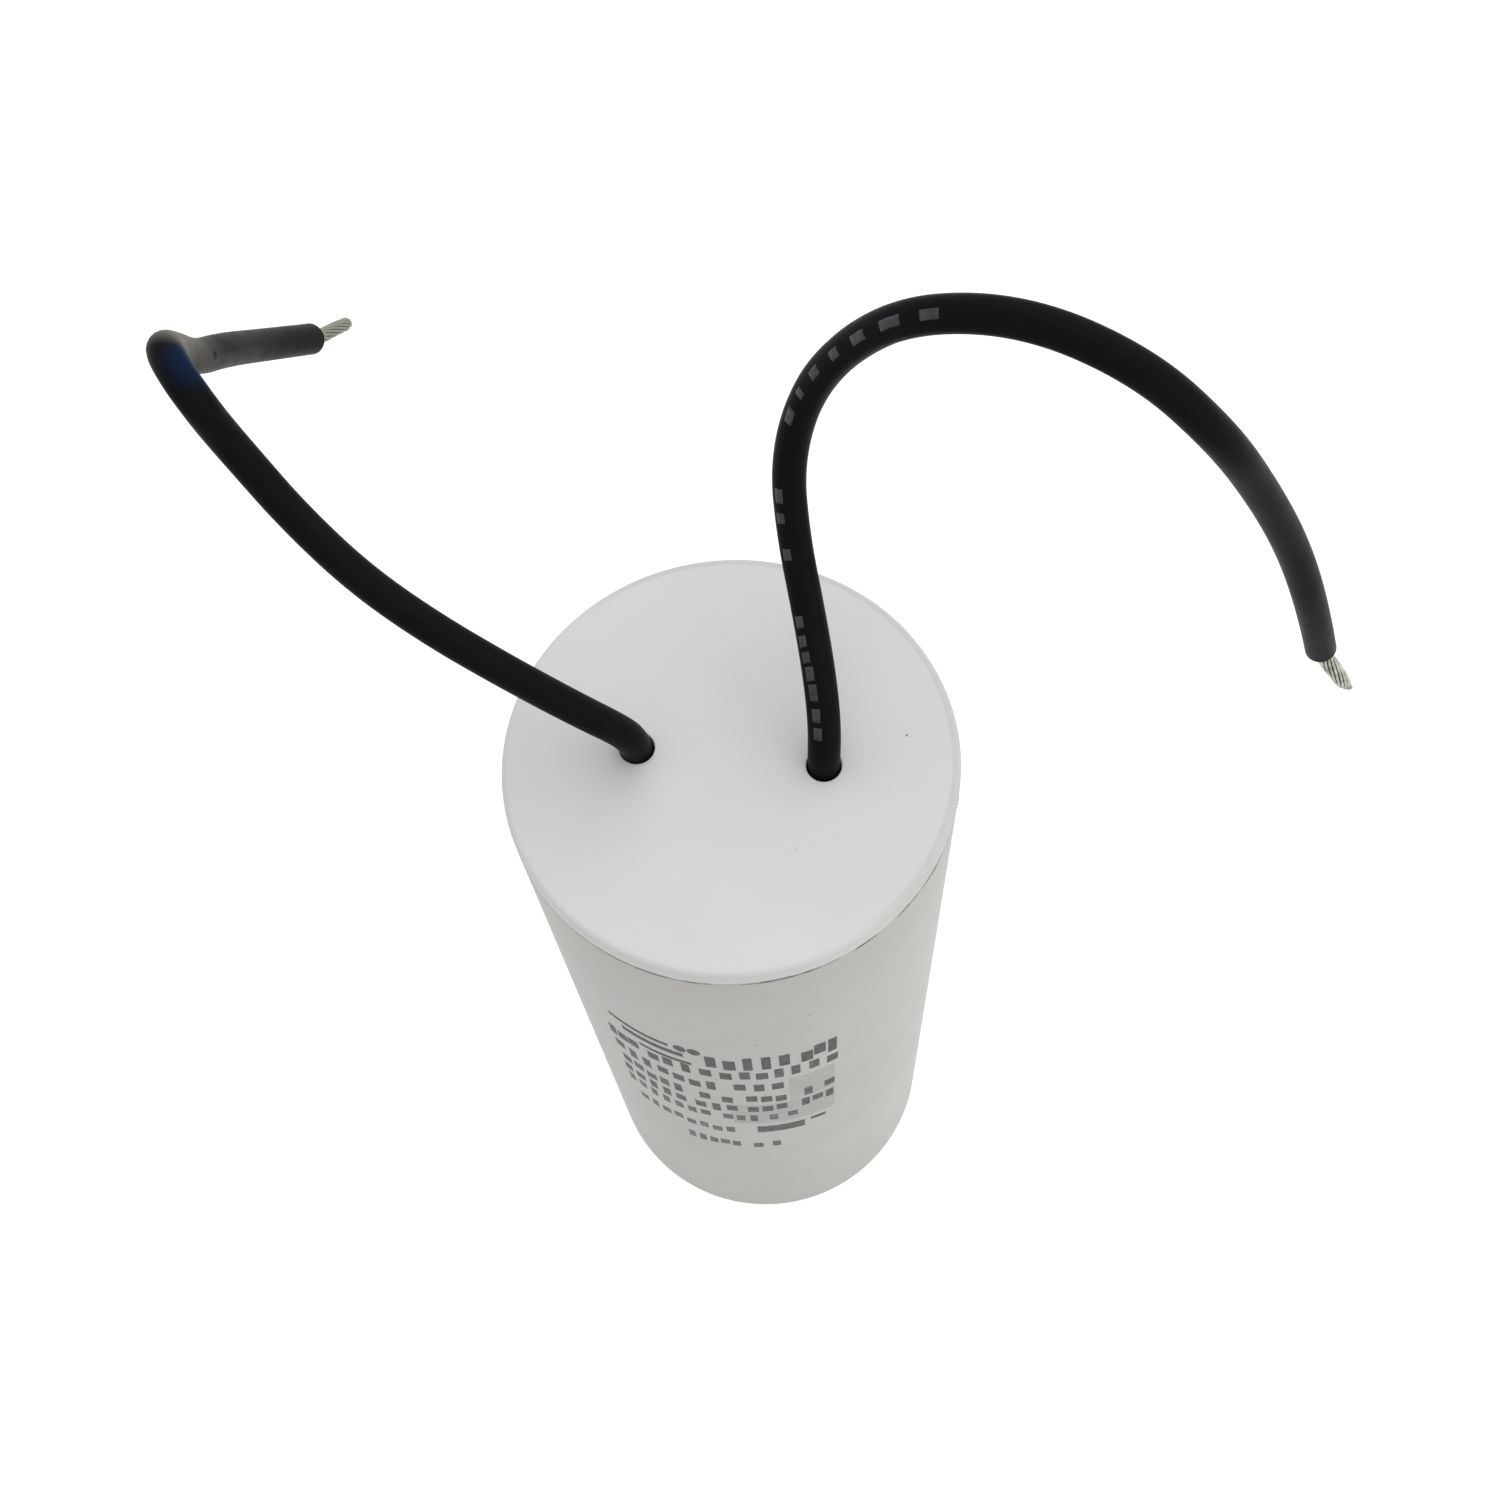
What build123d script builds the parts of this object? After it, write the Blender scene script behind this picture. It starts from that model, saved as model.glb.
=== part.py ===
from build123d import *
import math
import os

os.makedirs("parts", exist_ok=True)

# A cylindrical film capacitor in a moulded plastic can, with two stranded leads out of its lid.
# Millimetres, +Z up, origin at the centre of the can's underside, lead holes in line with X.

# Can and lid
can_diameter = 45.0
overall_height = 110.0
can_wall = 1.6
can_floor = 2.0
can_foot_radius = 0.5
can_inside_radius = 1.0
seam_bevel = 0.2
lid_thickness = 2.2
lid_edge_radius = 0.7
spigot_depth = 3.0
spigot_wall = 1.4
spigot_clearance = 0.1
boss_wall = 1.5
boss_depth = 1.4

# Leads
lead_diameter = 3.2
lead_spacing = 18.4
lead_hole_clearance = 0.12
lead_hole_edge_radius = 0.15
lead_start_depth = 2.8
lead_rise = 0.9
arc_share = 0.45
strand_diameter = 0.29
strand_gap = 0.01
strand_counts = [6, 12]
strand_root = 0.6
bare_length = 8.6

# Winding
core_wall = 1.5
core_bore_clearance = 1.4
resin_gap = 1.3
wrap_thickness = 0.4
wrap_overhang = 0.8
spray_thickness = 0.6
spray_margin = 0.3
floor_gap = 3.4
winding_depth = 18.4

# Joints and filling
solder_radius = 3.2
solder_height = 2.5
tail_reach = 6.4
tail_bend = 2.4
tail_lift = 0.15
insulation_gap = 6.0
crossing_bend = 5.0
crossing_drop = 3.6
resin_top_gap = 6.4
bore_exit_gap = 3.4

# Worked out
can_radius = can_diameter / 2
bore_radius = can_radius - can_wall
seam_height = overall_height - lid_thickness
spigot_radius = bore_radius - spigot_clearance
hole_radius = lead_diameter / 2 + lead_hole_clearance
lead_x = lead_spacing / 2
lead_start = overall_height - lead_start_depth
core_bore_radius = lead_diameter / 2 + core_bore_clearance
core_radius = core_bore_radius + core_wall
spray_bottom = can_floor + floor_gap
spray_top = overall_height - winding_depth
roll_bottom = spray_bottom + spray_thickness
roll_top = spray_top - spray_thickness
wrap_radius = bore_radius - resin_gap
roll_radius = wrap_radius - wrap_thickness
spray_radius = roll_radius - spray_margin
resin_top = overall_height - resin_top_gap
strand_pitch = strand_diameter + strand_gap
tail_radius = len(strand_counts) * strand_pitch + strand_diameter / 2
top_tail_height = spray_top + tail_lift + tail_radius
bottom_tail_height = spray_bottom - tail_lift - tail_radius
dome_radius = (solder_radius**2 + solder_height**2) / (2 * solder_height)


def arc_radii(points):
    """The radius of the arc at each corner of a lead's route: as large as its two runs allow."""
    radii = []
    for before, here, after in zip(points, points[1:], points[2:]):
        run_in = Vector(*here) - Vector(*before)
        run_out = Vector(*after) - Vector(*here)
        half_turn = math.radians(run_in.get_angle(run_out)) / 2
        radii.append(arc_share * min(run_in.length, run_out.length) / math.tan(half_turn))
    return radii


def report_lead(name, points, solid):
    """Print a lead's arcs and set its volume against its section times its length."""
    radii = arc_radii(points)
    with BuildLine() as route:
        FilletPolyline(*points, radius=radii)
    length = sum(edge.length for edge in route.edges())
    section = math.pi * (lead_diameter / 2) ** 2
    print(name, "length", round(length, 2), "radii", [round(r, 1) for r in radii])
    print(name, "volume", round(solid.volume, 2), "section x length", round(section * length, 2))


# The moulded can: a plain cup with a flat underside
with BuildPart() as case:
    with BuildSketch(Plane.XY):
        Circle(can_radius)
    extrude(amount=seam_height)
    with BuildSketch(Plane.XY.offset(can_floor)):
        Circle(bore_radius)
    extrude(amount=seam_height - can_floor, mode=Mode.SUBTRACT)
    underside, inside_floor, rim = case.faces().filter_by(GeomType.PLANE).sort_by(Axis.Z)
    fillet(underside.edges(), radius=can_foot_radius)
    fillet(inside_floor.edges(), radius=can_inside_radius)
    chamfer(rim.edges().sort_by(SortBy.RADIUS)[-1], length=seam_bevel)
case.part.label = "case"
export_step(case.part, "parts/case.step")

# The lid: a disc flush with the can, a spigot ring and a boss under each lead hole
lead_places = [(-lead_x, 0), (lead_x, 0)]
with BuildPart() as lid:
    with BuildSketch(Plane.XY.offset(seam_height)):
        Circle(can_radius)
    extrude(amount=lid_thickness)
    with BuildSketch(Plane.XY.offset(seam_height - spigot_depth)):
        Circle(spigot_radius)
        Circle(spigot_radius - spigot_wall, mode=Mode.SUBTRACT)
    extrude(amount=spigot_depth)
    with BuildSketch(Plane.XY.offset(seam_height - boss_depth)):
        with Locations(*lead_places):
            Circle(hole_radius + boss_wall)
    extrude(amount=boss_depth)
    with Locations(*[(x, y, overall_height) for x, y in lead_places]):
        Hole(hole_radius, depth=lid_thickness + boss_depth)
    top_rings = lid.edges().filter_by(GeomType.CIRCLE).group_by(Axis.Z)[-1]
    fillet(top_rings.sort_by(SortBy.RADIUS)[:-1], radius=lead_hole_edge_radius)
    outer_rings = lid.edges().filter_by(GeomType.CIRCLE).group_by(SortBy.RADIUS)[-1]
    fillet(outer_rings.sort_by(Axis.Z)[-1], radius=lid_edge_radius)
    outer_rings = lid.edges().filter_by(GeomType.CIRCLE).group_by(SortBy.RADIUS)[-1]
    chamfer(outer_rings.sort_by(Axis.Z)[0], length=seam_bevel)
lid.part.label = "lid"
export_step(lid.part, "parts/lid.step")

# The tube that the film is wound on
with BuildPart() as core_tube:
    with BuildSketch(Plane.XY.offset(spray_bottom)):
        Circle(core_radius)
        Circle(core_bore_radius, mode=Mode.SUBTRACT)
    extrude(amount=spray_top - spray_bottom)
core_tube.part.label = "core_tube"
export_step(core_tube.part, "parts/core_tube.step")

# The wound film
with BuildPart() as film_roll:
    with BuildSketch(Plane.XY.offset(roll_bottom)):
        Circle(roll_radius)
        Circle(core_radius, mode=Mode.SUBTRACT)
    extrude(amount=roll_top - roll_bottom)
film_roll.part.label = "film_roll"
export_step(film_roll.part, "parts/film_roll.step")

# The wrap of plain film round the winding, which stands a little proud of both ends
with BuildPart() as outer_wrap:
    with BuildSketch(Plane.XY.offset(roll_bottom - wrap_overhang)):
        Circle(wrap_radius)
        Circle(roll_radius, mode=Mode.SUBTRACT)
    extrude(amount=roll_top - roll_bottom + 2 * wrap_overhang)
outer_wrap.part.label = "outer_wrap"
export_step(outer_wrap.part, "parts/outer_wrap.step")

# The sprayed metal contact on each end of the winding
with BuildPart() as top_end_spray:
    with BuildSketch(Plane.XY.offset(roll_top)):
        Circle(spray_radius)
        Circle(core_radius, mode=Mode.SUBTRACT)
    extrude(amount=spray_thickness)
top_end_spray.part.label = "top_end_spray"
export_step(top_end_spray.part, "parts/top_end_spray.step")

with BuildPart() as bottom_end_spray:
    with BuildSketch(Plane.XY.offset(spray_bottom)):
        Circle(spray_radius)
        Circle(core_radius, mode=Mode.SUBTRACT)
    extrude(amount=spray_thickness)
bottom_end_spray.part.label = "bottom_end_spray"
export_step(bottom_end_spray.part, "parts/bottom_end_spray.step")

# Inside the can the left lead drops straight to the top contact, where its bare tail lies flat
left_insulation_end = spray_top + insulation_gap
with BuildPart() as left_lead_inner:
    with BuildSketch(Plane.XY.offset(left_insulation_end)):
        with Locations((-lead_x, 0)):
            Circle(lead_diameter / 2)
    extrude(amount=lead_start - left_insulation_end)
left_lead_inner.part.label = "left_lead_inner"
export_step(left_lead_inner.part, "parts/left_lead_inner.step")

with BuildPart() as left_tail:
    with BuildLine():
        FilletPolyline(
            (-lead_x, 0, left_insulation_end),
            (-lead_x, 0, top_tail_height),
            (-lead_x, tail_reach, top_tail_height),
            radius=tail_bend,
        )
    with BuildSketch(Plane.XY.offset(left_insulation_end)):
        with Locations((-lead_x, 0)):
            Circle(tail_radius)
    sweep()
left_tail.part.label = "left_tail"
export_step(left_tail.part, "parts/left_tail.step")

# The right lead crosses to the core tube and runs down its bore to the bottom contact
right_insulation_end = spray_bottom + bore_exit_gap
crossing_end = spray_top + crossing_bend
right_inner_route = [
    (lead_x, 0, lead_start),
    (lead_x, 0, lead_start - crossing_drop),
    (0, 0, crossing_end),
    (0, 0, right_insulation_end),
]
with BuildPart() as right_lead_inner:
    with BuildLine():
        FilletPolyline(*right_inner_route, radius=crossing_bend)
    with BuildSketch(Plane.XY.offset(lead_start)):
        with Locations((lead_x, 0)):
            Circle(lead_diameter / 2)
    sweep()
right_lead_inner.part.label = "right_lead_inner"
export_step(right_lead_inner.part, "parts/right_lead_inner.step")

bottom_tail_end = core_radius + tail_reach
with BuildPart() as right_tail:
    with BuildLine():
        FilletPolyline(
            (0, 0, right_insulation_end),
            (0, 0, bottom_tail_height),
            (bottom_tail_end, 0, bottom_tail_height),
            radius=tail_bend,
        )
    with BuildSketch(Plane.XY.offset(right_insulation_end)):
        Circle(tail_radius)
    sweep()
right_tail.part.label = "right_tail"
export_step(right_tail.part, "parts/right_tail.step")

# A dome of solder over the flat end of each tail
with BuildPart() as top_solder:
    with Locations((-lead_x, tail_reach - solder_radius / 2, spray_top + solder_height - dome_radius)):
        Sphere(dome_radius)
    split(bisect_by=Plane.XY.offset(spray_top), keep=Keep.TOP)
    add(left_tail.part, mode=Mode.SUBTRACT)
top_solder.part.label = "top_solder"
export_step(top_solder.part, "parts/top_solder.step")

with BuildPart() as bottom_solder:
    with Locations((bottom_tail_end - solder_radius / 2, 0, spray_bottom - solder_height + dome_radius)):
        Sphere(dome_radius)
    split(bisect_by=Plane.XY.offset(spray_bottom), keep=Keep.BOTTOM)
    add(right_tail.part, mode=Mode.SUBTRACT)
bottom_solder.part.label = "bottom_solder"
export_step(bottom_solder.part, "parts/bottom_solder.step")

# The resin that fills the can round the winding, up to just below the lid's spigot
potted_pieces = [
    core_tube, film_roll, outer_wrap, top_end_spray, bottom_end_spray, left_lead_inner, left_tail,
    right_lead_inner, right_tail, top_solder, bottom_solder,
]
with BuildPart() as potting:
    with BuildSketch(Plane.XY.offset(can_floor)):
        Circle(bore_radius)
    extrude(amount=resin_top - can_floor)
    fillet(potting.edges().filter_by(GeomType.CIRCLE).group_by(Axis.Z)[0], radius=can_inside_radius)
    for piece in potted_pieces:
        add(piece.part, mode=Mode.SUBTRACT)
potting.part.label = "potting"
export_step(potting.part, "parts/potting.step")

# The right lead's route: out of its hole, back over the rim, up, over in a wide loop and down
right_route = [
    (lead_x, 0, lead_start),
    (lead_x, 0, overall_height + lead_rise),
    (9.1, 1.8, 115.6),
    (8.2, 5.6, 118.6),
    (6.6, 11.0, 120.9),
    (4.7, 16.4, 124.7),
    (3.7, 20.5, 130.9),
    (5.3, 23.0, 138.5),
    (9.2, 22.5, 146.7),
    (14.8, 20.3, 154.1),
    (23.4, 17.9, 157.5),
    (32.4, 15.3, 155.7),
    (39.4, 14.0, 149.4),
    (44.9, 17.1, 137.9),
    (50.6, 19.6, 125.1),
    (55.5, 20.6, 112.3),
    (58.8, 22.5, 101.4),
]
right_tip = (63.5, 21.5, 94.3)

# The left lead's route: out of its hole, up to the left, and folded back sharply near its end
left_route = [
    (-lead_x, 0, lead_start),
    (-lead_x, 0, overall_height + lead_rise),
    (-10.1, -0.6, 114.8),
    (-13.3, -1.4, 120.1),
    (-19.4, -0.9, 125.9),
    (-26.1, 0.7, 130.4),
    (-32.7, 3.9, 132.6),
    (-38.4, 7.5, 136.0),
    (-42.1, 10.0, 140.4),
    (-43.8, 10.9, 143.8),
    (-44.5, 11.1, 146.8),
    (-46.2, 12.7, 148.8),
    (-48.0, 15.2, 148.5),
    (-48.7, 17.0, 146.2),
    (-48.7, 19.4, 141.6),
    (-49.1, 24.5, 136.1),
    (-49.9, 32.1, 126.8),
    (-48.6, 38.9, 119.1),
]
left_tip = (-47.3, 45.4, 113.6)

with BuildPart() as right_lead:
    with BuildLine():
        FilletPolyline(*right_route, radius=arc_radii(right_route))
    with BuildSketch(Plane.XY.offset(lead_start)):
        with Locations((lead_x, 0)):
            Circle(lead_diameter / 2)
    sweep()
right_lead.part.label = "right_lead"
export_step(right_lead.part, "parts/right_lead.step")
report_lead("right_lead", right_route, right_lead.part)

with BuildPart() as left_lead:
    with BuildLine():
        FilletPolyline(*left_route, radius=arc_radii(left_route))
    with BuildSketch(Plane.XY.offset(lead_start)):
        with Locations((-lead_x, 0)):
            Circle(lead_diameter / 2)
    sweep()
left_lead.part.label = "left_lead"
export_step(left_lead.part, "parts/left_lead.step")
report_lead("left_lead", left_route, left_lead.part)


def strand_sections(route, tip):
    """A middle strand and rings of strands round it, square to the way from a lead's cut end to its tip."""
    start = Vector(*route[-1])
    along = (Vector(*tip) - start).normalized()
    with BuildSketch(Plane(origin=start - along * strand_root, z_dir=along)) as sections:
        Circle(strand_diameter / 2)
        for ring_number, count in enumerate(strand_counts, start=1):
            with PolarLocations(ring_number * strand_pitch, count):
                Circle(strand_diameter / 2)
    return sections.sketch


def cut_end(route):
    """The plane of the insulation's cut end, facing outwards."""
    return Plane(origin=Vector(*route[-1]), z_dir=Vector(*route[-1]) - Vector(*route[-2]))


with BuildPart() as right_strands:
    extrude(strand_sections(right_route, right_tip), amount=strand_root + bare_length)
    split(bisect_by=cut_end(right_route), keep=Keep.TOP)
right_strands.part.label = "right_strands"
export_step(right_strands.part, "parts/right_strands.step")

with BuildPart() as left_strands:
    extrude(strand_sections(left_route, left_tip), amount=strand_root + bare_length)
    split(bisect_by=cut_end(left_route), keep=Keep.TOP)
left_strands.part.label = "left_strands"
export_step(left_strands.part, "parts/left_strands.step")
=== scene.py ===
"""Looks of a film capacitor: a pale plastic can with a welded lid and two black stranded leads."""

import math
import random

import bpy
from mathutils import Matrix, Vector


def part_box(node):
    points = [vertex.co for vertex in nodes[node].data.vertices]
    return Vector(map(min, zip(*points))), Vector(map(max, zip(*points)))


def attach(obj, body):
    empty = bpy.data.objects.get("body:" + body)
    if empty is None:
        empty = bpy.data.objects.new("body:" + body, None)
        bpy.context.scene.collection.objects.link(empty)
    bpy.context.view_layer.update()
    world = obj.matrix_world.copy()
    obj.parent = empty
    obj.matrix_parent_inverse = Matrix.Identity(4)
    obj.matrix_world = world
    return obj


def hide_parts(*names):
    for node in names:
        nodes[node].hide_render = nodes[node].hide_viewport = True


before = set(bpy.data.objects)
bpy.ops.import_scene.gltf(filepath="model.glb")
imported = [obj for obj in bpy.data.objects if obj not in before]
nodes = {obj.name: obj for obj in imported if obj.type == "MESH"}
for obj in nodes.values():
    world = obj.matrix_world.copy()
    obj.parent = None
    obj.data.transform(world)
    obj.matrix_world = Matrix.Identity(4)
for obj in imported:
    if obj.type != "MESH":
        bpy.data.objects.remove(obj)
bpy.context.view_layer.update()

MM = 0.001

# Sizes of the can and lid, read from the frame
case_low, case_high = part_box("case")
lid_low, lid_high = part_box("lid")
CAN_RADIUS = (case_high.x - case_low.x) / 2
SEAM_HEIGHT = case_high.z
LID_TOP = lid_high.z

# Leads: the same points as the model's routes, in metres
LEAD_DIAMETER = 3.2 * MM
LEAD_RADIUS = LEAD_DIAMETER / 2
LEAD_X = 9.2 * MM
LEAD_START = 107.2 * MM
LEAD_RISE = 0.9 * MM

RIGHT_ROUTE = [
    (LEAD_X, 0, LEAD_START),
    (LEAD_X, 0, LID_TOP + LEAD_RISE),
    (0.0091, 0.0018, 0.1156),
    (0.0082, 0.0056, 0.1186),
    (0.0066, 0.0110, 0.1209),
    (0.0047, 0.0164, 0.1247),
    (0.0037, 0.0205, 0.1309),
    (0.0053, 0.0230, 0.1385),
    (0.0092, 0.0225, 0.1467),
    (0.0148, 0.0203, 0.1541),
    (0.0234, 0.0179, 0.1575),
    (0.0324, 0.0153, 0.1557),
    (0.0394, 0.0140, 0.1494),
    (0.0449, 0.0171, 0.1379),
    (0.0506, 0.0196, 0.1251),
    (0.0555, 0.0206, 0.1123),
    (0.0588, 0.0225, 0.1014),
]
RIGHT_TIP = (0.0635, 0.0215, 0.0943)

LEFT_ROUTE = [
    (-LEAD_X, 0, LEAD_START),
    (-LEAD_X, 0, LID_TOP + LEAD_RISE),
    (-0.0101, -0.0006, 0.1148),
    (-0.0133, -0.0014, 0.1201),
    (-0.0194, -0.0009, 0.1259),
    (-0.0261, 0.0007, 0.1304),
    (-0.0327, 0.0039, 0.1326),
    (-0.0384, 0.0075, 0.1360),
    (-0.0421, 0.0100, 0.1404),
    (-0.0438, 0.0109, 0.1438),
    (-0.0445, 0.0111, 0.1468),
    (-0.0462, 0.0127, 0.1488),
    (-0.0480, 0.0152, 0.1485),
    (-0.0487, 0.0170, 0.1462),
    (-0.0487, 0.0194, 0.1416),
    (-0.0491, 0.0245, 0.1361),
    (-0.0499, 0.0321, 0.1268),
    (-0.0486, 0.0389, 0.1191),
]
LEFT_TIP = (-0.0473, 0.0454, 0.1136)

# Strands at the bare ends
STRAND_RADIUS = 0.155 * MM
STRAND_PITCH = 0.32 * MM
STRAND_RINGS = [1, 6, 12]
STRAND_LAY = 17 * MM
RIGHT_SPREAD = [(0.0, 1.0), (0.45, 1.18), (0.75, 1.05), (1.0, 0.55)]
LEFT_SPREAD = [(0.0, 0.90), (0.5, 0.95), (1.0, 0.85)]
RIGHT_CUT = 1.5 * MM
LEFT_CUT = 0.5 * MM

CUT_RIM = 0.22 * MM
SEAM_BEAD = 0.17 * MM
SEAM_STEPS = 360
SEAM_WAVES = 14
SEAM_SEED = 5
STRAND_ROOT = 0.6 * MM
PRINT_SINK = 0.06 * MM
PRINT_DOT = 0.75 * MM
# The part of its cell that a block fills: left, right, low and high
PRINT_CELLS = [
    (0, 1, 0, 0.75),
    (0, 1, 0.25, 1),
    (0, 1, 0.12, 0.88),
    (0.12, 0.88, 0, 1),
    (0.06, 0.94, 0.1, 0.95),
]

# Finishes
WARM_PLASTIC = (0.58, 0.565, 0.535)
# Painted shade: the darker colour of the back half of the lid's rounded rim
LID_RIM_PAINTED_SHADE = (0.665, 0.672, 0.655)
LID_RIM = 1.0 * MM
SEAM_DIRT = (0.05, 0.046, 0.038)
SEAM_DIRT_REACH = 0.42 * MM
SEAM_DIRT_SIDE = (0.70, -0.71)
SPECKS = [
    ((0.0169, 0.0040, LID_TOP), 0.16 * MM, 0.8),
    ((0.0075, -0.0089, LID_TOP), 0.16 * MM, 0.22),
    ((0.0088, -0.0083, LID_TOP), 0.12 * MM, 0.22),
    ((0.0110, -0.0073, LID_TOP), 0.12 * MM, 0.15),
    ((0.0067, -0.0094, LID_TOP), 0.12 * MM, 0.15),
    ((0.0098, -0.0203, 0.0936), 0.24 * MM, 0.5),
    ((0.0044, -0.0221, 0.0866), 0.28 * MM, 0.4),
    ((-0.0062, -0.0216, 0.1014), 0.20 * MM, 0.4),
    ((-0.0011, -0.0225, 0.1050), 0.20 * MM, 0.4),
]

# The left lead's fold: a pale haze that is partly a painted highlight on the limb behind it, painted shade
# along that limb's upper side, and a blue tint
FOLD_HAZE_AND_HIGHLIGHT_PLACE = (-0.0473, 0.0170, 0.1470)
FOLD_HAZE_AND_HIGHLIGHT_KEPT = 0.84
FOLD_HAZE_AND_HIGHLIGHT_COLOUR = (0.19, 0.186, 0.17)
FOLD_LIMB_START = 14.3 * MM
FOLD_UPPER_SIDE = (-0.18, 0.73, 0.65)
FOLD_UPPER_HEIGHT = 114.9 * MM
FOLD_UPPER_START = 19.0 * MM
FOLD_TINT_PLACE = (-0.0450, 0.0136, 0.1492)
FOLD_TINT_REACH = 3.1 * MM
FOLD_TINT_COLOUR = (0.005, 0.017, 0.050)
FOLD_SPOT_PLACE = (-0.0472, 0.0204, 0.1410)
FOLD_SPOT_RADIUS = 0.42 * MM
FOLD_SPOT_COLOUR = (0.012, 0.012, 0.014)

FILM_TURN_PITCH = 0.5 * MM

# Print on the can: rows of plain blocks that stand for the print, as (height of the row's middle, height
# of its blocks, width of its blocks, runs of angles round the can)
PRINT_ROWS = {
    "print_dark": [
        (79.2, 4.9, 1.35, [(-94, -70), (-67, -56)]),
        (74.4, 3.5, 1.35, [(-126, -115), (-112, -104), (-102, -87)]),
        (68.9, 3.4, 1.35, [(-110, -92), (-87, -78), (-76, -71)]),
    ],
    "print_worn": [
        (74.4, 3.5, 1.35, [(-85, -67), (-65, -56)]),
        (68.9, 3.4, 1.35, [(-125, -112)]),
        (63.6, 3.3, 1.3, [(-124, -103), (-98, -88), (-84, -72), (-67, -57)]),
        (59.0, 3.2, 1.3, [(-125, -103), (-100, -87), (-84, -72), (-68, -57)]),
    ],
    "print_faded": [
        (54.6, 3.0, 1.2, [(-125, -96), (-92, -81), (-78, -69)]),
        (48.0, 3.0, 1.2, [(-122, -89)]),
        (40.4, 3.0, 1.2, [(-106, -88), (-84, -75)]),
    ],
}
# Plain shapes as (lowest angle, highest angle, lowest height, highest height)
PRINT_SHAPES = {
    "print_dark": [
        (-123, -104, 81.6, 82.6),
        (-119, -100, 79.0, 80.4),
        (-114, -98, 76.4, 77.4),
    ],
    "print_worn": [(-82, -67, 47.2, 50.2), (-65, -60, 49.2, 50.4)],
    "print_field": [(-71, -57, 61.6, 71.2), (-89, -57, 51.8, 61.0)],
}
PRINT_DOTS = [(-100.5, 82.2), (-96.5, 82.2)]
PRINT_LIFT = {"print_dark": 0.014, "print_worn": 0.014, "print_faded": 0.014, "print_field": 0.007}

# Faint marks along the right lead: places along it, turn away from the camera's side, length and width
LEAD_MARKS = [
    (8.1, -24, 1.2), (9.8, -27, 1.2), (11.8, -30, 1.5), (13.5, -33, 1.3), (15.0, -38, 1.0),
    (16.5, -42, 1.1), (18.4, -40, 1.2), (25.1, -38, 1.2), (28.8, -42, 1.1), (31.1, -40, 1.5),
    (39.9, -32, 1.7), (43.0, -28, 0.9), (46.3, -22, 1.5), (50.0, -14, 1.3), (53.8, -8, 1.9),
    (57.9, -4, 2.2), (61.8, -2, 1.7),
]
LEAD_MARK_WIDTH = 0.88

# Stage: a floor just under the can, the world's light, and lamps as (name, place, size, power)
FLOOR_REACH = 3.0
FLOOR_GAP = 0.05 * MM
FLOOR_GLOW = 0.81
FLOOR_COLOUR = (0.42, 0.42, 0.42)
FLOOR_PLAIN_COLOUR = (0.90, 0.90, 0.90)
WORLD_STRENGTH = 0.47
WORLD_SHOWN_STRENGTH = 1.0
WHITE = (1, 1, 1, 1)
LAMP_TARGET = (0, 0, 0.07)
LAMPS = [
    ("key", (0.22, 0.30, 0.75), 1.5, 4.6),
    ("fill", (0.60, -0.30, 0.30), 0.6, 0.7),
    ("left", (-0.60, -0.05, 0.30), 0.6, 0.45),
]

# The photograph's camera, fitted to the can's outline, seam and holes
CAMERA_PLACE = Vector((17.22, -71.83, 270.26)) * MM
CAMERA_AZIMUTH = math.radians(-11.933)
CAMERA_ELEVATION = math.radians(65.122)
CAMERA_ROLL = math.radians(-5.519)
CAMERA_LENS = 43.40
CAMERA_SENSOR = 36.0


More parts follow.
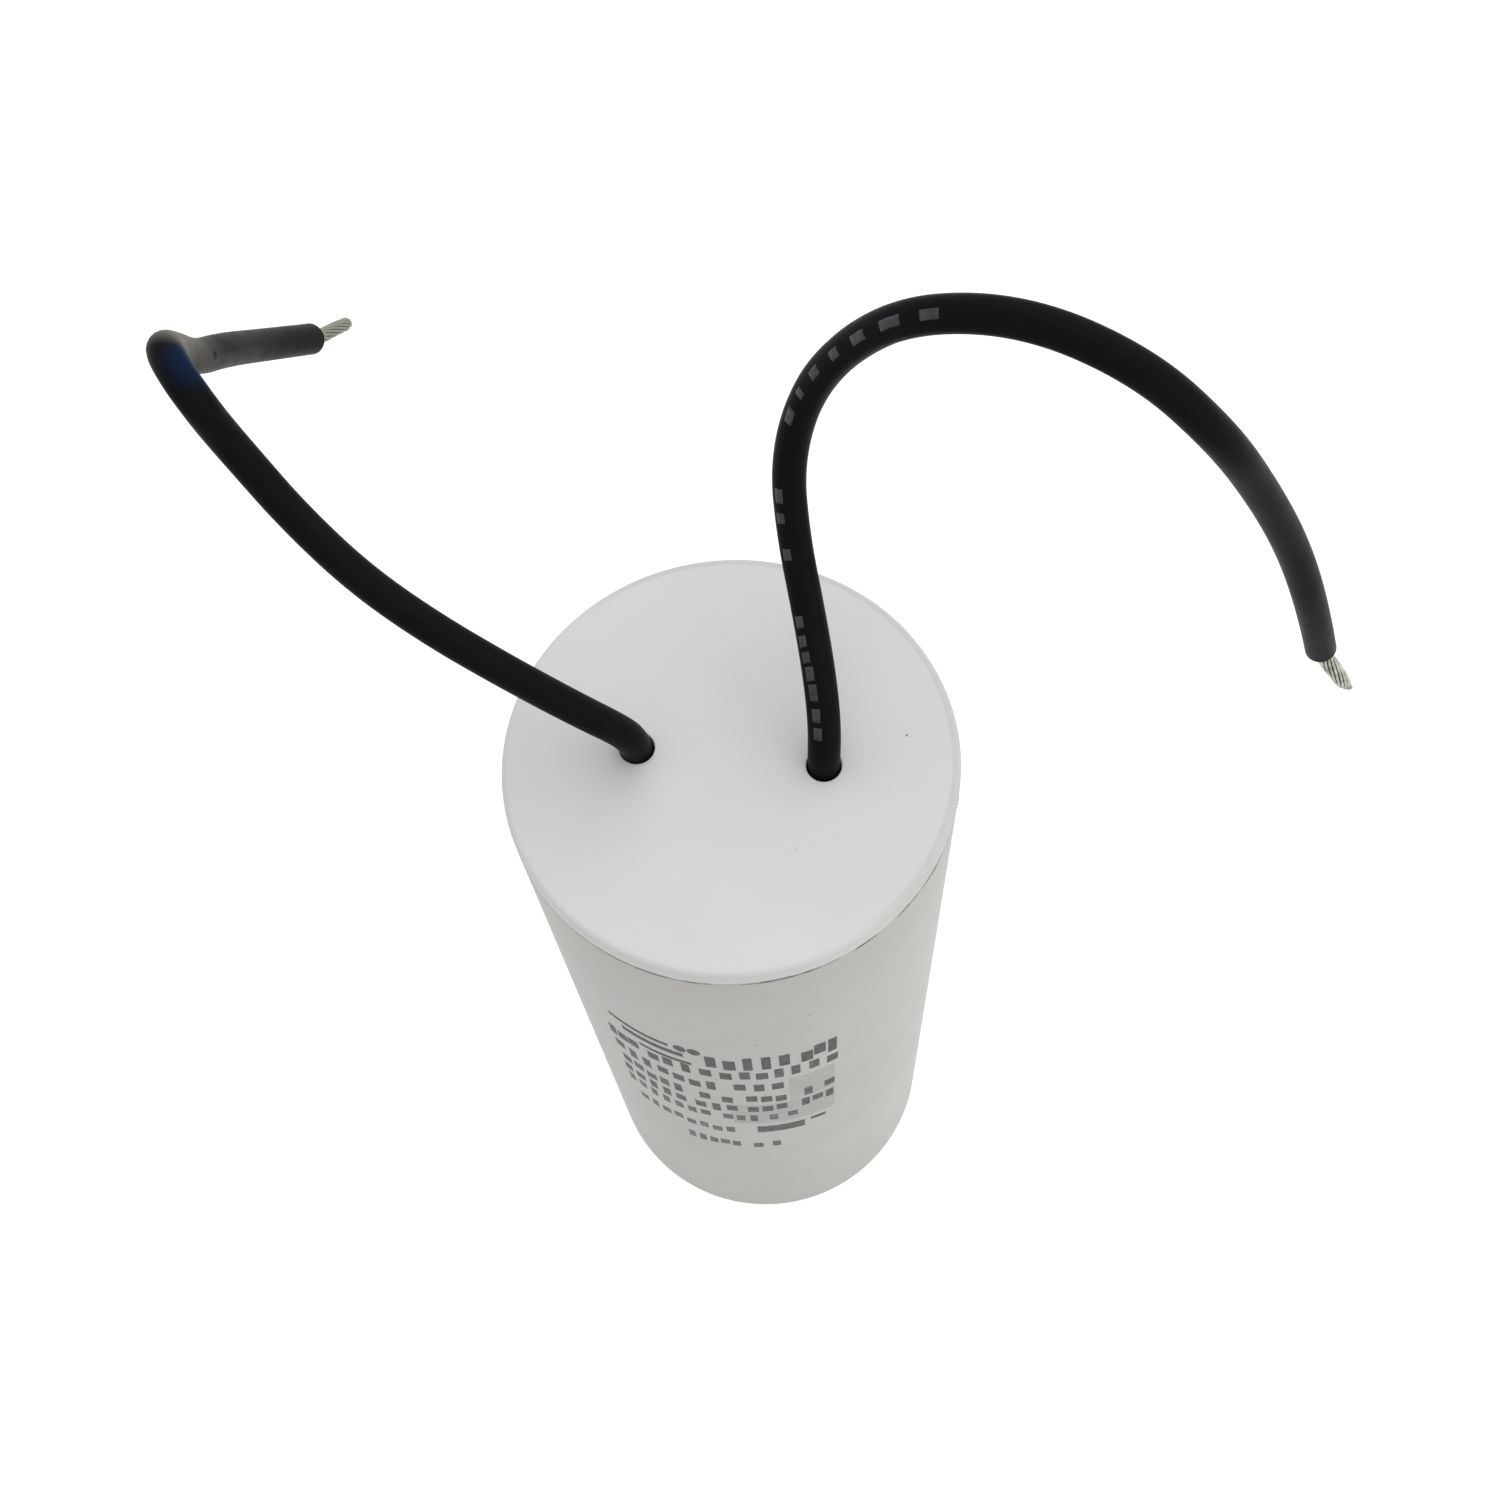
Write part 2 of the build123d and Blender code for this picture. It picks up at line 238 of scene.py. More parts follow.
class Finish:
    """A material built by short calls. Values and sockets of other nodes can both be passed in."""

    def __init__(self, name, **fixed):
        self.material = bpy.data.materials.new(name)
        self.material.use_nodes = True
        self.tree = self.material.node_tree
        self.shader = self.tree.nodes["Principled BSDF"]
        for socket, value in fixed.items():
            self.join(self.shader.inputs[socket.replace("_", " ")], value)
        self.place = self.add("ShaderNodeTexCoord").outputs["Object"]

    def join(self, socket, value):
        if isinstance(value, bpy.types.NodeSocket):
            self.tree.links.new(value, socket)
        elif isinstance(value, tuple) and len(value) == 3 and len(socket.default_value) == 4:
            socket.default_value = (*value, 1.0)
        else:
            socket.default_value = value

    def add(self, kind, *values, **settings):
        node = self.tree.nodes.new(kind)
        for key, value in settings.items():
            setattr(node, key, value)
        for socket, value in zip(node.inputs, values):
            if value is not None:
                self.join(socket, value)
        return node

    def math(self, operation, *values, clamp=False):
        return self.add("ShaderNodeMath", *values, operation=operation, use_clamp=clamp).outputs[0]

    def noise(self, scale, detail=3.0, vector=None):
        node = self.add("ShaderNodeTexNoise")
        self.join(node.inputs["Vector"], vector or self.place)
        node.inputs["Scale"].default_value = scale
        node.inputs["Detail"].default_value = detail
        return node.outputs["Fac"]

    def split(self, vector):
        return self.add("ShaderNodeSeparateXYZ", vector).outputs

    def ramp(self, value, low, high, start=0.0, end=1.0):
        node = self.add("ShaderNodeMapRange", value, low, high, start, end, interpolation_type="SMOOTHSTEP")
        return node.outputs["Result"]

    def mix(self, share, one, two):
        node = self.add("ShaderNodeMix", data_type="RGBA")
        self.join(node.inputs["Factor"], share)
        self.join(node.inputs[6], one)
        self.join(node.inputs[7], two)
        return node.outputs[2]

    def times(self, first, *others, clamp=False):
        for other in others:
            first = self.math("MULTIPLY", first, other, clamp=clamp and other is others[-1])
        return first

    def away(self, spot):
        """The distance from a spot."""
        return self.add("ShaderNodeVectorMath", self.place, spot, operation="DISTANCE").outputs["Value"]

    def along(self, direction):
        """How far a place lies in a direction."""
        node = self.add("ShaderNodeVectorMath", self.place, direction, operation="DOT_PRODUCT")
        return node.outputs["Value"]

    def from_axis(self, x, y):
        """The distance from the can's axis."""
        return self.math("SQRT", self.math("ADD", self.times(x, x), self.times(y, y)))

    def near(self, spot, reach, full):
        """1 within the full distance of a spot, falling to 0 at its reach."""
        return self.ramp(self.away(spot), reach, full)

    def paint(self, colour):
        self.join(self.shader.inputs["Base Color"], colour)

    def rough(self, value):
        self.join(self.shader.inputs["Roughness"], value)

    def bump(self, *layers):
        """Each layer is a height socket and the depth in metres of its full height."""
        normal = None
        for height, depth in layers:
            node = self.add("ShaderNodeBump")
            self.join(node.inputs["Height"], height)
            node.inputs["Distance"].default_value = depth
            node.inputs["Strength"].default_value = 1.0
            if normal is not None:
                self.join(node.inputs["Normal"], normal)
            normal = node.outputs["Normal"]
        self.join(self.shader.inputs["Normal"], normal)


def moulded_finish(name, colour, shade, rim_painted_shade=None):
    """Matte moulded plastic: faint mottling, fine grain, dirt that has settled in the seam, and painted shade
    on the back of the lid's rim when a rim colour for it is given.
    """
    finish = Finish(name, IOR=1.46)
    x, y, z = finish.split(finish.place)
    mottle = finish.ramp(finish.noise(55, 4), 0.35, 0.7)
    base = finish.mix(mottle, colour, shade)
    warm_band = finish.ramp(z, SEAM_HEIGHT - 12 * MM, SEAM_HEIGHT - 3 * MM)
    below_seam = finish.ramp(z, SEAM_HEIGHT + 0.1 * MM, SEAM_HEIGHT - 0.1 * MM)
    base = finish.mix(finish.math("MULTIPLY", warm_band, below_seam), base, WARM_PLASTIC)
    # Painted shade: the lid's rim ring is darkened on its back half
    if rim_painted_shade:
        rim = finish.ramp(finish.from_axis(x, y), CAN_RADIUS - LID_RIM, CAN_RADIUS - 0.7 * LID_RIM)
        behind = finish.ramp(finish.math("ADD", x, y), -0.2 * CAN_RADIUS, 0.4 * CAN_RADIUS)
        base = finish.mix(finish.math("MULTIPLY", rim, behind), base, rim_painted_shade)
    off_seam = finish.math("ABSOLUTE", finish.math("SUBTRACT", z, SEAM_HEIGHT))
    nearness = finish.ramp(off_seam, SEAM_DIRT_REACH, 0.0)
    broken = finish.ramp(finish.noise(330, 4), 0.38, 0.56)
    towards = finish.math("ADD", finish.times(x, SEAM_DIRT_SIDE[0]), finish.times(y, SEAM_DIRT_SIDE[1]))
    thickest = finish.ramp(towards, -0.1 * CAN_RADIUS, 0.8 * CAN_RADIUS, 0.1, 1.0)
    dirt = finish.times(nearness, broken, thickest, clamp=True)
    base = finish.mix(dirt, base, SEAM_DIRT)
    for spot, radius, strength in SPECKS:
        ragged = finish.math("MULTIPLY_ADD", finish.noise(1500, 2), 0.6 * radius, finish.away(spot))
        base = finish.mix(finish.ramp(ragged, radius * 1.3, radius * 0.7, 0.0, strength), base, SEAM_DIRT)
    dust = finish.ramp(finish.noise(900, 2), 0.74, 0.80, 0.0, 0.10)
    base = finish.mix(dust, base, SEAM_DIRT)
    grain = finish.noise(2400, 2)
    finish.paint(base)
    finish.rough(finish.ramp(grain, 0.3, 0.7, 0.50, 0.62))
    finish.bump((finish.noise(70, 2), 0.08 * MM), (grain, 0.010 * MM))
    return finish.material


def insulation_finish():
    """Black soft plastic with a satin gloss, hazed and tinted where it is folded sharply; the haze is partly
    a painted highlight, with painted shade on the limb's upper side.
    """
    finish = Finish("lead_insulation", IOR=1.5, Specular_IOR_Level=0.02)
    dust = finish.ramp(finish.noise(420, 5), 0.5, 0.85)
    base = finish.mix(dust, (0.0076, 0.0080, 0.0082), (0.0096, 0.0100, 0.0102))
    depth = finish.split(finish.place)[1]
    behind = finish.ramp(depth, FOLD_LIMB_START, FOLD_LIMB_START + 2 * MM)
    # Painted highlight: a pale haze fading with distance from the fold, left out on the limb's upper side as
    # painted shade
    millimetres = finish.math("DIVIDE", finish.away(FOLD_HAZE_AND_HIGHLIGHT_PLACE), MM)
    lit = finish.times(finish.math("POWER", FOLD_HAZE_AND_HIGHLIGHT_KEPT, millimetres), behind)
    height = finish.along(FOLD_UPPER_SIDE)
    upper = finish.ramp(height, FOLD_UPPER_HEIGHT - 0.5 * MM, FOLD_UPPER_HEIGHT + 0.3 * MM)
    further = finish.ramp(depth, FOLD_UPPER_START, FOLD_UPPER_START + 5 * MM)
    shaded = finish.math("SUBTRACT", 1.0, finish.times(upper, further, behind))
    uneven = finish.ramp(finish.noise(260, 3), 0.3, 0.7, 0.75, 1.0)
    base = finish.mix(finish.times(lit, shaded, uneven), base, FOLD_HAZE_AND_HIGHLIGHT_COLOUR)
    spot = finish.near(FOLD_SPOT_PLACE, FOLD_SPOT_RADIUS * 1.4, FOLD_SPOT_RADIUS * 0.5)
    base = finish.mix(spot, base, FOLD_SPOT_COLOUR)
    in_front = finish.math("SUBTRACT", 1.0, behind)
    tint = finish.math("MULTIPLY", finish.near(FOLD_TINT_PLACE, FOLD_TINT_REACH, 0.5 * MM), in_front)
    finish.paint(finish.mix(tint, base, FOLD_TINT_COLOUR))
    finish.rough(finish.ramp(finish.noise(500, 2), 0.3, 0.7, 0.36, 0.42))
    finish.bump((finish.noise(200, 2), 0.010 * MM), (finish.noise(3000, 2), 0.002 * MM))
    return finish.material


def tinned_finish():
    """Tinned copper wire: silver grey metal with dull patches, darker and rougher towards the left."""
    finish = Finish("tinned_wire", Metallic=1.0)
    # Darker and rougher towards the left lead, set by place alone
    darker_and_rougher_leftwards = finish.ramp(finish.split(finish.place)[0], 0.0, -40 * MM, 0.0, 0.8)
    patches = finish.math("ADD", finish.ramp(finish.noise(900, 4), 0.35, 0.7), darker_and_rougher_leftwards, clamp=True)
    finish.paint(finish.mix(patches, (0.52, 0.52, 0.46), (0.27, 0.27, 0.23)))
    finish.rough(finish.ramp(patches, 0.0, 1.0, 0.30, 0.50))
    finish.bump((finish.noise(4000, 2), 0.004 * MM))
    return finish.material


def ink_finish(name, colour, thin, wear):
    """Printed ink, worn thin in patches so that the plastic shows through."""
    finish = Finish(name, IOR=1.45)
    patches = finish.ramp(finish.noise(800, 5), 0.62 - wear, 0.78 - wear)
    finish.paint(finish.mix(patches, colour, thin))
    finish.rough(finish.ramp(finish.noise(2000, 2), 0.3, 0.7, 0.45, 0.6))
    finish.bump((finish.noise(2400, 2), 0.006 * MM))
    return finish.material


def metal_finish(name, colour, dull, roughness, scale):
    """Bare or sprayed metal with a grain of its own, for the pieces sealed inside."""
    finish = Finish(name, Metallic=0.9)
    grain = finish.ramp(finish.noise(scale, 5), 0.3, 0.7)
    finish.paint(finish.mix(grain, colour, dull))
    finish.rough(finish.ramp(grain, 0.0, 1.0, roughness, roughness + 0.2))
    finish.bump((grain, 0.02 * MM))
    return finish.material


def film_finish(name, colour, edge):
    """Wound film: fine rings round the can's axis on its ends and soft streaks down its side."""
    finish = Finish(name, IOR=1.49)
    x, y, z = finish.split(finish.place)
    turns = finish.math("SINE", finish.times(finish.from_axis(x, y), math.tau / FILM_TURN_PITCH))
    rings = finish.ramp(turns, -1.0, 1.0)
    finish.paint(finish.mix(finish.math("MULTIPLY", rings, finish.noise(120, 3)), colour, edge))
    finish.rough(finish.ramp(finish.noise(200, 3), 0.3, 0.7, 0.25, 0.4))
    finish.bump((rings, 0.01 * MM))
    return finish.material


def resin_finish():
    """Cast resin: slightly cloudy, with a wavy set surface."""
    finish = Finish("resin", IOR=1.55)
    cloud = finish.ramp(finish.noise(90, 5), 0.3, 0.7)
    finish.paint(finish.mix(cloud, (0.34, 0.26, 0.14), (0.44, 0.36, 0.22)))
    finish.rough(finish.ramp(cloud, 0.0, 1.0, 0.18, 0.32))
    finish.bump((finish.noise(140, 3), 0.1 * MM))
    return finish.material


def make_object(name, data, material):
    thing = bpy.data.objects.new(name, data)
    bpy.context.scene.collection.objects.link(thing)
    data.materials.append(material)
    return thing


def make_mesh(name, points, faces, material, smooth=True):
    mesh = bpy.data.meshes.new(name)
    mesh.from_pydata(points, [], faces)
    mesh.validate()
    for polygon in mesh.polygons:
        polygon.use_smooth = smooth
    return make_object(name, mesh, material)


def route_curve(name, points, bevel=0.0):
    """A smooth open curve with the route's points as its control points."""
    curve = bpy.data.curves.new(name, "CURVE")
    curve.dimensions = "3D"
    curve.resolution_u = 12
    curve.bevel_depth = bevel
    curve.bevel_resolution = 8
    curve.use_fill_caps = True
    spline = curve.splines.new("NURBS")
    spline.points.add(len(points) - 1)
    for control, point in zip(spline.points, points):
        control.co = (*point, 1.0)
    spline.order_u = 3
    spline.use_endpoint_u = True
    return curve


def centreline(points):
    """Points along the route's smooth line."""
    thing = bpy.data.objects.new("centreline", route_curve("centreline", points))
    bpy.context.scene.collection.objects.link(thing)
    mesh = bpy.data.meshes.new_from_object(thing.evaluated_get(bpy.context.evaluated_depsgraph_get()))
    line = [vertex.co.copy() for vertex in mesh.vertices]
    bpy.data.objects.remove(thing)
    return line


def frames_along(line):
    """A place, a direction and two cross directions that don't twist, for each point of a line."""
    frames = []
    side = None
    for index, point in enumerate(line):
        ahead = (line[min(index + 1, len(line) - 1)] - line[max(index - 1, 0)]).normalized()
        if side is None:
            side = ahead.orthogonal().normalized()
        side = (side - ahead * side.dot(ahead)).normalized()
        frames.append((point, ahead, side, ahead.cross(side)))
    return frames


def tube_mesh(line, radii, sides=8):
    """Points and faces of a closed round tube along a line."""
    points, faces = [], []
    for (point, _, side, up), radius in zip(frames_along(line), radii):
        for index in range(sides):
            turn = math.tau * index / sides
            points.append(point + (side * math.cos(turn) + up * math.sin(turn)) * radius)
    for ring in range(len(line) - 1):
        for index in range(sides):
            after = (index + 1) % sides
            low, high = ring * sides, (ring + 1) * sides
            faces.append((low + index, low + after, high + after, high + index))
    faces.append(tuple(reversed(range(sides))))
    faces.append(tuple(range(len(points) - sides, len(points))))
    return points, faces


def camera():
    data = bpy.data.cameras.new("camera")
    data.lens = CAMERA_LENS
    data.sensor_width = CAMERA_SENSOR
    data.clip_start = 0.01
    data.clip_end = 20.0
    thing = bpy.data.objects.new("camera", data)
    bpy.context.scene.collection.objects.link(thing)
    ahead = Vector((
        math.cos(CAMERA_ELEVATION) * math.sin(CAMERA_AZIMUTH),
        math.cos(CAMERA_ELEVATION) * math.cos(CAMERA_AZIMUTH),
        -math.sin(CAMERA_ELEVATION),
    ))
    level = Vector((math.cos(CAMERA_AZIMUTH), -math.sin(CAMERA_AZIMUTH), 0))
    below = ahead.cross(level)
    right = level * math.cos(CAMERA_ROLL) - below * math.sin(CAMERA_ROLL)
    down = level * math.sin(CAMERA_ROLL) + below * math.cos(CAMERA_ROLL)
    turn = Matrix((right, -down, -ahead)).transposed()
    thing.matrix_world = Matrix.Translation(CAMERA_PLACE) @ turn.to_4x4()
    bpy.context.scene.camera = thing


def between(steps, share):
    """The value at a share of the way, on straight lines between the steps."""
    for (low, low_value), (high, high_value) in zip(steps, steps[1:]):
        if share <= high:
            return low_value + (high_value - low_value) * (share - low) / (high - low)
    return steps[-1][1]


def bare_end(name, route, tip, spreads, slant, material):
    """The twisted strands from a lead's cut end to their tip, replacing the plain ones."""
    line = centreline(route)
    start = line[-1]
    ahead = (line[-1] - line[-2]).normalized()
    tip = Vector(tip)
    reach = (tip - start).length
    root = start - ahead * STRAND_ROOT
    axis = centreline([root, start, start + ahead * reach * 0.22, start.lerp(tip, 0.6), tip])
    frames = frames_along(axis)
    lengths = [0.0]
    for one, two in zip(axis, axis[1:]):
        lengths.append(lengths[-1] + (two - one).length)
    points, faces = [], []
    chance = random.Random(len(name))
    for ring, count in enumerate(STRAND_RINGS):
        for index in range(count):
            line = []
            last_turn = math.tau * (index / count + lengths[-1] / STRAND_LAY)
            slanted = slant * ring * (0.5 + 0.5 * math.cos(last_turn)) / 2
            cut = lengths[-1] - slanted - chance.uniform(0, 0.2) * MM
            for (place, _, side, up), length in zip(frames, lengths):
                if length > cut:
                    continue
                turn = math.tau * (index / count + length / STRAND_LAY)
                spread = between(spreads, length / lengths[-1])
                away = (side * math.cos(turn) + up * math.sin(turn)) * ring * STRAND_PITCH * spread
                line.append(place + away)
            tube_points, tube_faces = tube_mesh(line, [STRAND_RADIUS] * len(line))
            first = len(points)
            points += tube_points
            faces += [tuple(first + corner for corner in face) for face in tube_faces]
    strands = make_mesh(name, points, faces, material)
    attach(strands, "root")
    return strands


def ring_mesh(centre, ahead, radii, heights, thickness, sides=8):
    """Points and faces of a closed ring round a direction, its radius and height free at each step."""
    side = ahead.orthogonal().normalized()
    up = ahead.cross(side)
    points, faces = [], []
    steps = len(radii)
    for step, (radius, height) in enumerate(zip(radii, heights)):
        turn = math.tau * step / steps
        away = side * math.cos(turn) + up * math.sin(turn)
        for index in range(sides):
            angle = math.tau * index / sides
            out = radius + thickness * math.cos(angle)
            points.append(centre + away * out + ahead * (height + thickness * math.sin(angle)))
    for step in range(steps):
        here, there = step * sides, (step + 1) % steps * sides
        for index in range(sides):
            after = (index + 1) % sides
            faces.append((here + index, there + index, there + after, here + after))
    return points, faces


def cut_rim(name, route, material):
    """The rounded lip of the insulation where the lead is cut."""
    line = centreline(route)
    ahead = (line[-1] - line[-2]).normalized()
    radii = [LEAD_RADIUS - CUT_RIM] * 48
    points, faces = ring_mesh(line[-1], ahead, radii, [0.0] * 48, CUT_RIM, 10)
    rim = make_mesh(name, points, faces, material)
    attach(rim, "root")
    return rim


def seam_bead(material):
    """The uneven bead of weld flash in the seam under the lid."""
    chance = random.Random(SEAM_SEED)
    waves = []
    for _ in range(SEAM_WAVES):
        waves.append((chance.randint(3, 60), chance.uniform(0, math.tau), chance.uniform(0.2, 1.0)))
    radii, heights = [], []
    for step in range(SEAM_STEPS):
        turn = math.tau * step / SEAM_STEPS
        swell = sum(size * math.sin(count * turn + start) for count, start, size in waves) / len(waves)
        radii.append(CAN_RADIUS - SEAM_BEAD * 0.9 + swell * SEAM_BEAD)
        heights.append(SEAM_HEIGHT + swell * SEAM_BEAD * 0.5)
    points, faces = ring_mesh(Vector((0, 0, 0)), Vector((0, 0, 1)), radii, heights, SEAM_BEAD)
    bead = make_mesh("seam_bead", points, faces, material)
    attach(bead, "root")


def curved_plate(low_turn, high_turn, low, high, lift):
    """Points and faces of a closed thin plate that lies on the can's wall."""
    steps = max(1, math.ceil(abs(high_turn - low_turn) / 2))
    points, faces = [], []
    for step in range(steps + 1):
        turn = math.radians(low_turn + (high_turn - low_turn) * step / steps)
        for radius in (CAN_RADIUS - PRINT_SINK, CAN_RADIUS + lift):
            for height in (low, high):
                points.append((radius * math.cos(turn), radius * math.sin(turn), height))
    for step in range(steps):
        a, b = step * 4, step * 4 + 4
        faces += [(a, a + 1, b + 1, b), (a + 2, b + 2, b + 3, a + 3)]
        faces += [(a, b, b + 2, a + 2), (a + 1, a + 3, b + 3, b + 1)]
    last = steps * 4
    faces += [(0, 2, 3, 1), (last, last + 1, last + 3, last + 2)]
    return points, faces


def print_marks(name, material):
    """All the marks of one ink in one mesh."""
    chance = random.Random(len(name))
    lift = PRINT_LIFT[name] * MM
    plates = []
    for first, last, low, high in PRINT_SHAPES.get(name, []):
        plates.append(curved_plate(first, last, low * MM, high * MM, lift))
    for middle, tall, wide, runs in PRINT_ROWS.get(name, []):
        cell = math.degrees(wide * MM / CAN_RADIUS)
        for first, last in runs:
            count = max(1, round((last - first + 0.35 * cell) / (1.35 * cell)))
            pitch = (last - first - cell) / max(1, count - 1)
            for index in range(count):
                turn = first + index * pitch
                left, right, low, high = chance.choice(PRINT_CELLS)
                plates.append(curved_plate(
                    turn + left * cell, turn + right * cell,
                    (middle + (low - 0.5) * tall) * MM, (middle + (high - 0.5) * tall) * MM, lift,
                ))
    if name == "print_dark":
        plates += [print_dot(turn, height * MM, lift) for turn, height in PRINT_DOTS]
    points, faces = [], []
    for plate_points, plate_faces in plates:
        faces += [tuple(len(points) + corner for corner in face) for face in plate_faces]
        points += plate_points
    marks = make_mesh(name, points, faces, material, smooth=False)
    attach(marks, "root")


def print_dot(turn, height, lift):
    """A closed thin round plate on the can's wall."""
    middle = math.radians(turn)
    points = []
    for radius in (CAN_RADIUS - PRINT_SINK, CAN_RADIUS + lift):
        for step in range(16):
            way = math.tau * step / 16
            around = middle + PRINT_DOT * math.cos(way) / CAN_RADIUS
            level = height + 1.5 * PRINT_DOT * math.sin(way)
            points.append((radius * math.cos(around), radius * math.sin(around), level))
    faces = [tuple(reversed(range(16))), tuple(range(16, 32))]
    for step in range(16):
        after = (step + 1) % 16
        faces.append((step, after, 16 + after, 16 + step))
    return points, faces


def lead_marks(material):
    """Faint marks printed along the right lead, as short plain dashes that hug the insulation."""
    line = centreline(RIGHT_ROUTE)
    reach = [0.0]
    for one, two in zip(line, line[1:]):
        reach.append(reach[-1] + (two - one).length)
    points, faces = [], []
    for middle, turn, long in LEAD_MARKS:
        first = len(points)
        rows = 5
        for row in range(rows):
            length = (middle + long * (row / (rows - 1) - 0.5)) * MM
            index = max(1, min(len(line) - 1, next(i for i, far in enumerate(reach) if far >= length)))
            share = (length - reach[index - 1]) / (reach[index] - reach[index - 1])
            place = line[index - 1].lerp(line[index], share)
            ahead = (line[index] - line[index - 1]).normalized()
            seen = CAMERA_PLACE - place
            seen = (seen - ahead * seen.dot(ahead)).normalized()
            side = ahead.cross(seen)
            for column in range(5):
                angle = math.radians(turn) + LEAD_MARK_WIDTH * MM / LEAD_RADIUS * (column / 4 - 0.5)
                away = seen * math.cos(angle) + side * math.sin(angle)
                points.append(place + away * (LEAD_RADIUS - 0.05 * MM))
                points.append(place + away * (LEAD_RADIUS + 0.012 * MM))
        for row in range(rows - 1):
            for column in range(4):
                a = first + (row * 5 + column) * 2
                b = a + 10
                faces += [(a, a + 2, b + 2, b), (a + 1, b + 1, b + 3, a + 3)]
        for column in range(4):
            a = first + column * 2
            b = first + ((rows - 1) * 5 + column) * 2
            faces += [(a, a + 1, a + 3, a + 2), (b, b + 2, b + 3, b + 1)]
        for row in range(rows - 1):
            a = first + row * 10
            b = a + 8
            faces += [(a, a + 10, a + 11, a + 1), (b, b + 1, b + 11, b + 10)]
    marks = make_mesh("lead_marks", points, faces, material)
    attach(marks, "root")
    return marks


def lead(name, route, tip, ends, insulation, wire):
    """One lead: its smooth insulated run, the lip of its cut end and its bare strands."""
    strands = bare_end(name + "_bare_end", route, tip, *ends, wire)
    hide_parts(name.replace("lead", "strands"))
    rim = cut_rim(name + "_cut_rim", route, insulation)
    cord = make_object(name + "_cord", route_curve(name + "_cord", route, LEAD_RADIUS), insulation)
    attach(cord, "root")
    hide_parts(name)


def paint_node(name, material):
    for slot in nodes[name].material_slots:
        slot.material = material
    for polygon in nodes[name].data.polygons:
        polygon.use_smooth = True


def looked_at(tree):
    """1 for a ray from the camera, or one that metal or glass sends on, and 0 for the light on the object."""
    path = tree.nodes.new("ShaderNodeLightPath")
    seen = path.outputs["Is Camera Ray"]
    for kind in ("Is Glossy Ray", "Is Transmission Ray"):
        either = tree.nodes.new("ShaderNodeMath")
        either.operation = "MAXIMUM"
        tree.links.new(seen, either.inputs[0])
        tree.links.new(path.outputs[kind], either.inputs[1])
        seen = either.outputs[0]
    return seen


def floor():
    """A white floor that keeps the shadow. The camera, and what mirrors it, sees it near white."""
    mesh = bpy.data.meshes.new("floor")
    corners = [(-1, -1), (1, -1), (1, 1), (-1, 1)]
    mesh.from_pydata([(x * FLOOR_REACH, y * FLOOR_REACH, -FLOOR_GAP) for x, y in corners], [], [(0, 1, 2, 3)])
    material = bpy.data.materials.new("floor")
    material.use_nodes = True
    tree = material.node_tree
    tree.nodes.remove(tree.nodes["Principled BSDF"])
    output = tree.nodes["Material Output"]
    seen = tree.nodes.new("ShaderNodeAddShader")
    diffuse = tree.nodes.new("ShaderNodeBsdfDiffuse")
    diffuse.inputs["Color"].default_value = (*FLOOR_COLOUR, 1)
    glow = tree.nodes.new("ShaderNodeEmission")
    glow.inputs["Strength"].default_value = FLOOR_GLOW
    tree.links.new(diffuse.outputs[0], seen.inputs[0])
    tree.links.new(glow.outputs[0], seen.inputs[1])
    plain = tree.nodes.new("ShaderNodeBsdfDiffuse")
    plain.inputs["Color"].default_value = (*FLOOR_PLAIN_COLOUR, 1)
    pick = tree.nodes.new("ShaderNodeMixShader")
    tree.links.new(looked_at(tree), pick.inputs[0])
    tree.links.new(plain.outputs[0], pick.inputs[1])
    tree.links.new(seen.outputs[0], pick.inputs[2])
    tree.links.new(pick.outputs[0], output.inputs["Surface"])
    thing = make_object("floor", mesh, material)


def area_light(name, place, target, size, power):
    data = bpy.data.lights.new(name, "AREA")
    data.shape = "DISK"
    data.size = size
    data.energy = power
    thing = bpy.data.objects.new(name, data)
    thing.location = place
    thing.rotation_mode = "QUATERNION"
    thing.rotation_quaternion = (Vector(target) - Vector(place)).to_track_quat("-Z", "Y")
    bpy.context.scene.collection.objects.link(thing)


def lighting():
    world = bpy.data.worlds.new("studio")
    bpy.context.scene.world = world
    world.use_nodes = True
    tree = world.node_tree
    sky = tree.nodes["Background"]
    sky.inputs["Strength"].default_value = WORLD_STRENGTH
    sky.inputs["Color"].default_value = WHITE
    shown = tree.nodes.new("ShaderNodeBackground")
    shown.inputs["Strength"].default_value = WORLD_SHOWN_STRENGTH
    shown.inputs["Color"].default_value = WHITE
    pick = tree.nodes.new("ShaderNodeMixShader")
    tree.links.new(looked_at(tree), pick.inputs[0])
    tree.links.new(sky.outputs[0], pick.inputs[1])
    tree.links.new(shown.outputs[0], pick.inputs[2])
    tree.links.new(pick.outputs[0], tree.nodes["World Output"].inputs["Surface"])
    for name, place, size, power in LAMPS:
        area_light(name, place, LAMP_TARGET, size, power)


